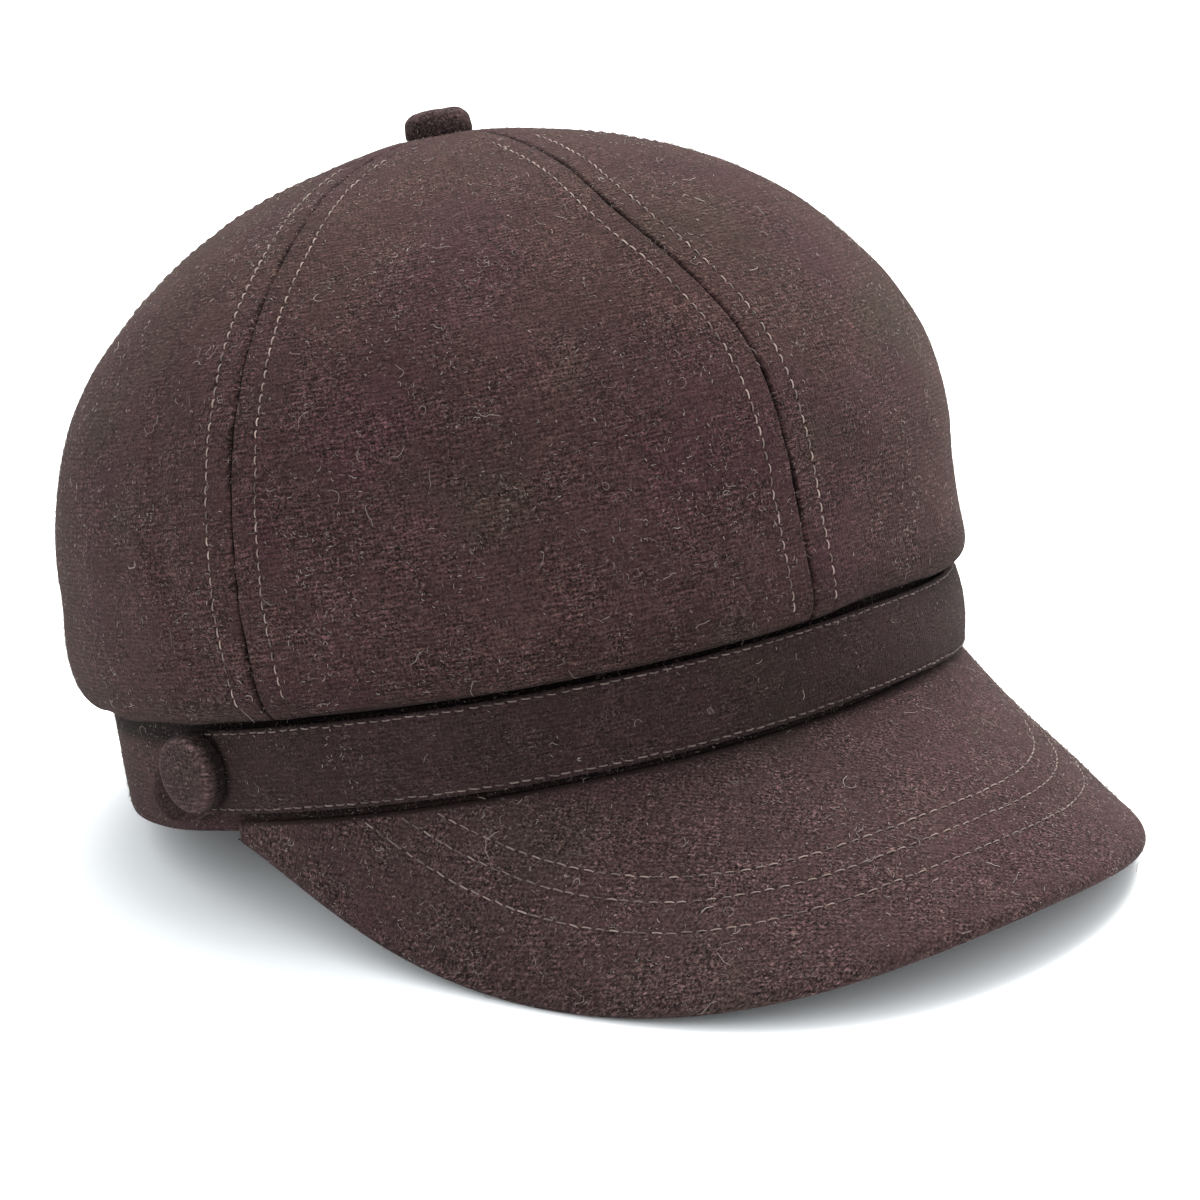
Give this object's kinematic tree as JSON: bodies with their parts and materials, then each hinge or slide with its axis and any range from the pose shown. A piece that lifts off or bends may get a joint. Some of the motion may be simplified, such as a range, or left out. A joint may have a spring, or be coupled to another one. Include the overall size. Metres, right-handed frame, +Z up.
{
  "type": "newsboy cap",
  "caption": "Newsboy cap with a lined six-panel crown, a covered top button, a stiff curved visor and a front strap held by a covered button at each side.",
  "frame": {"origin": "on the table under the middle of the cap's bounding box, as the cap rests on its headband's back edge and its visor's edge", "axes": "+Z up from the table, -Y towards the visor, +X towards the wearer's left; the cap leans back 9.4 degrees about X"},
  "size_m": [0.2012, 0.2527, 0.1514],
  "materials": {
    "crown_wool": "brushed wool twill",
    "visor_wool": "brushed wool twill",
    "strap_wool": "brushed wool twill",
    "lining_satin": "satin",
    "ribbon": "ribbed ribbon",
    "interlining": "plain",
    "elastic": "woven elastic",
    "board": "matte",
    "button_steel": "plain",
    "button_plastic": "matte",
    "thread": "spun thread"
  },
  "bodies": {
    "cap": {"crown_panel_front_left": "crown_wool", "crown_panel_front_right": "crown_wool", "crown_panel_side_left": "crown_wool", "crown_panel_side_right": "crown_wool", "crown_panel_rear_left": "crown_wool", "crown_panel_rear_right": "crown_wool", "lining_panel_front_left": "lining_satin", "lining_panel_front_right": "lining_satin", "lining_panel_side_left": "lining_satin", "lining_panel_side_right": "lining_satin", "lining_panel_rear_left": "lining_satin", "lining_panel_rear_right": "lining_satin", "headband": "crown_wool", "band_stiffener": "interlining", "rear_elastic": "elastic", "sweatband": "ribbon", "visor_upper_cover": "visor_wool", "visor_lower_cover": "visor_wool", "visor_board": "board", "top_button_thread": "thread", "left_button_thread": "thread", "right_button_thread": "thread"},
    "strap": {"strap_face": "strap_wool", "strap_backing": "lining_satin"},
    "top_button": {"top_button_cover": "crown_wool", "top_button_shell": "button_steel", "top_button_back": "button_plastic"},
    "left_button": {"left_button_cover": "strap_wool", "left_button_shell": "button_steel", "left_button_back": "button_plastic"},
    "right_button": {"right_button_cover": "strap_wool", "right_button_shell": "button_steel", "right_button_back": "button_plastic"}
  },
  "joints": [
    {"name": "strap_swing", "type": "hinge", "parent": "cap", "child": "strap", "pos_m": [0, 0.00861, 0.03331], "axis": [-1, 0, 0], "range_deg": [-1, 0.8]},
    {"name": "top_button_turn", "type": "hinge", "parent": "cap", "child": "top_button", "pos_m": [0, 0.04418, 0.14596], "axis": [0, 0.1633, 0.9866], "range_deg": [-30, 30], "stiffness_Nm_per_rad": 0.0003},
    {"name": "left_button_turn", "type": "hinge", "parent": "cap", "child": "left_button", "pos_m": [0.09587, 0.00834, 0.03335], "axis": [0.9833, -0.1798, 0.0298], "range_deg": [-30, 30], "stiffness_Nm_per_rad": 0.0003},
    {"name": "right_button_turn", "type": "hinge", "parent": "cap", "child": "right_button", "pos_m": [-0.09587, 0.00834, 0.03335], "axis": [-0.9833, -0.1798, 0.0298], "range_deg": [-30, 30], "stiffness_Nm_per_rad": 0.0003}
  ]
}
